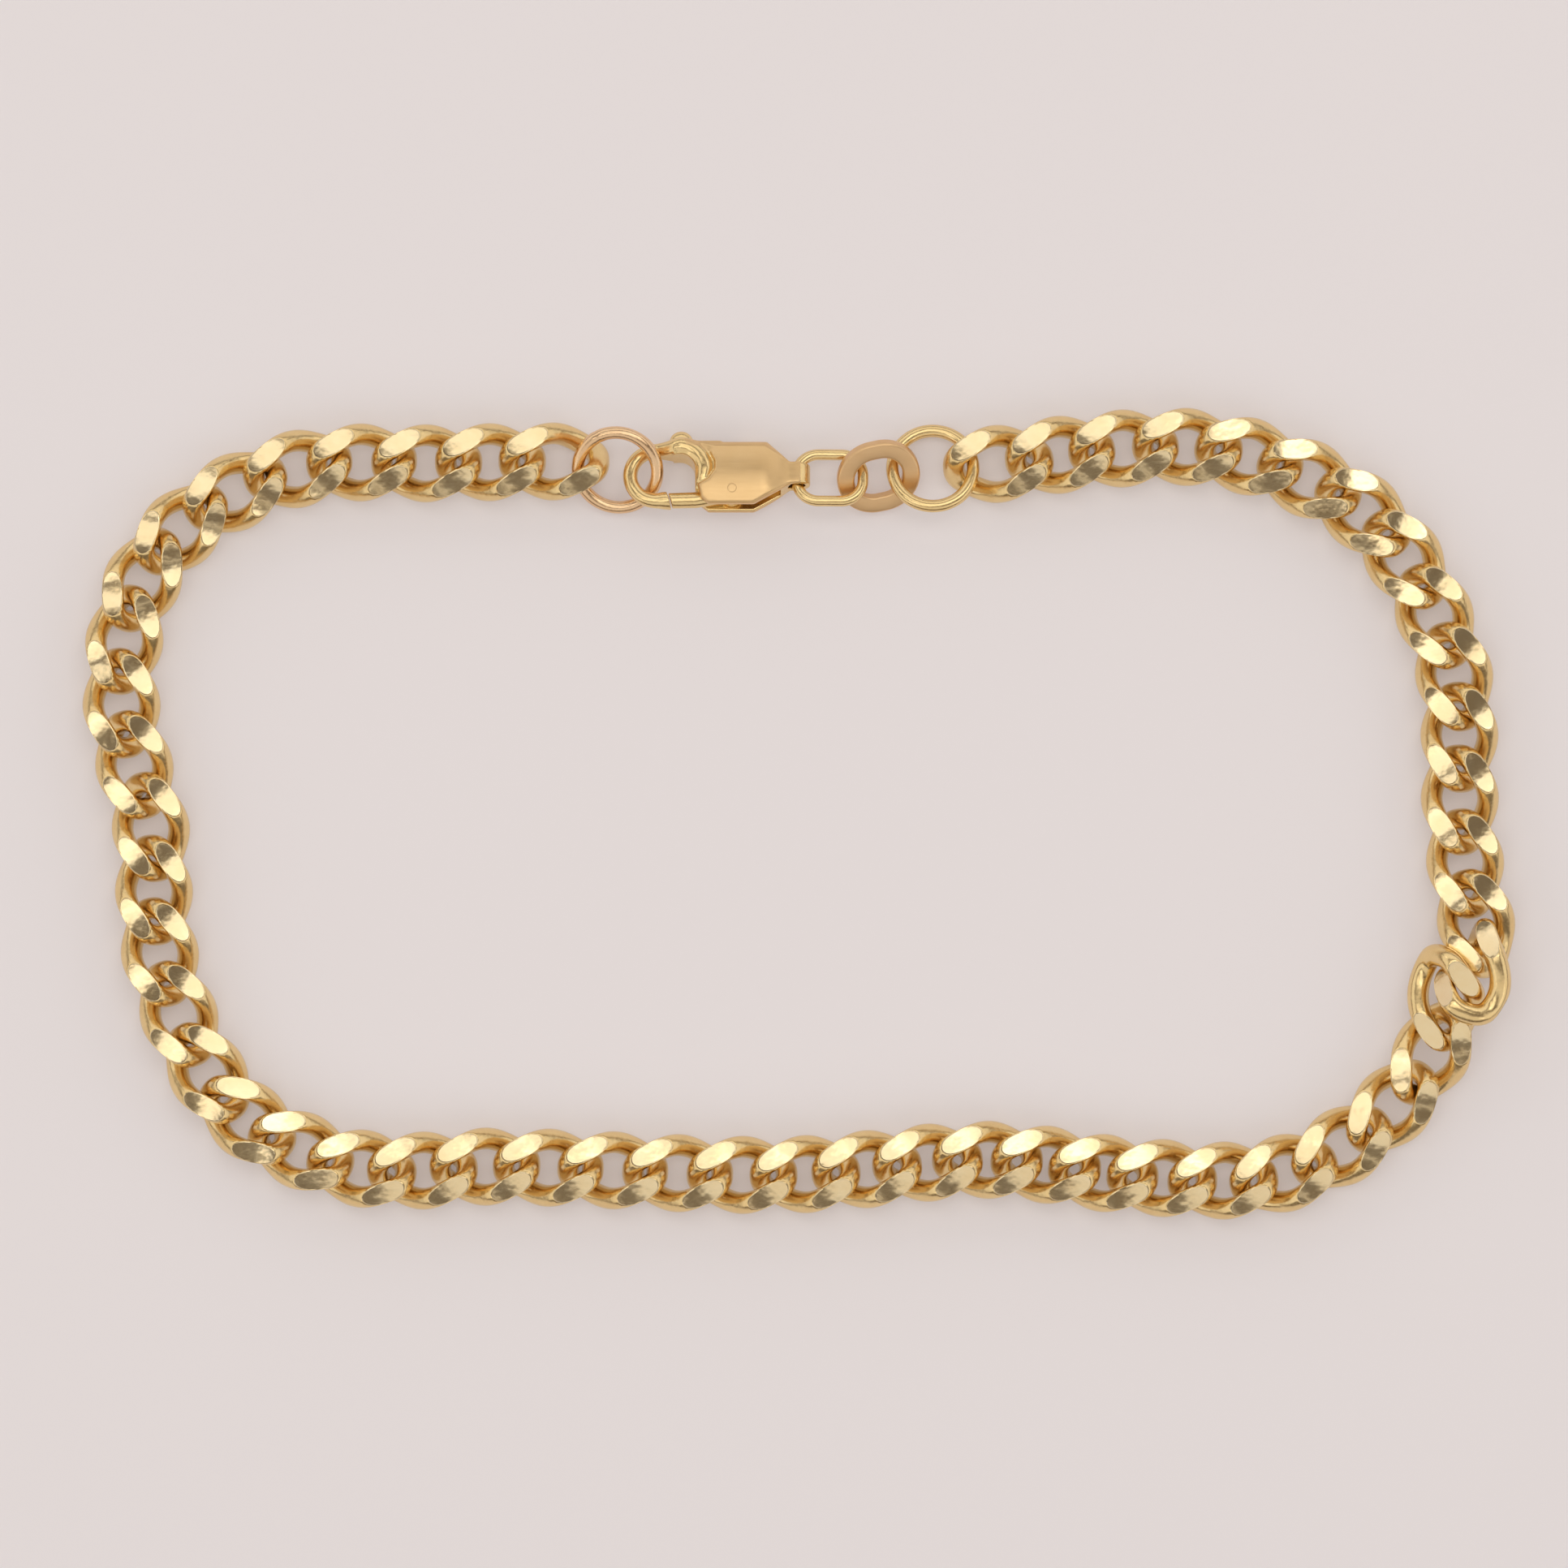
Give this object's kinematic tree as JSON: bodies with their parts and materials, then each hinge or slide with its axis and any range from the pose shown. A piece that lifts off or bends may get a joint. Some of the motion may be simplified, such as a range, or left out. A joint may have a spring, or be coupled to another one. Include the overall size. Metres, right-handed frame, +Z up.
{
  "type": "link bracelet",
  "caption": "Gold curb link bracelet lying flat in a closed loop, with diamond-cut twisted links, a swivelling lever clasp and joining rings.",
  "frame": {"origin": "middle of the lying loop's outline, on the surface that it lies on", "axes": "+X to the right along the row of the clasp, from its claw to its eye, +Y across the loop towards the clasp, +Z up off the surface"},
  "size_m": [0.0788, 0.0445, 0.0039],
  "materials": {
    "polished_gold": "polished",
    "rose_gold": "polished",
    "satin_gold": "satin"
  },
  "bodies": {
    "bracelet": {"left_chain": "polished_gold", "right_chain": "polished_gold", "left_jump_ring": "rose_gold", "clasp_body": "satin_gold", "lever_pin": "satin_gold", "tail_ring": "polished_gold", "connector_link": "satin_gold", "right_jump_ring": "polished_gold"},
    "lever": {"clasp_lever": "polished_gold"}
  },
  "joints": [
    {"name": "lever_hinge", "type": "hinge", "parent": "bracelet", "child": "lever", "pos_m": [-0.0038, 0.01759, 0.00175], "axis": [0, -0.309, -0.9511], "range_deg": [0, 20], "stiffness_Nm_per_rad": 0.01}
  ]
}
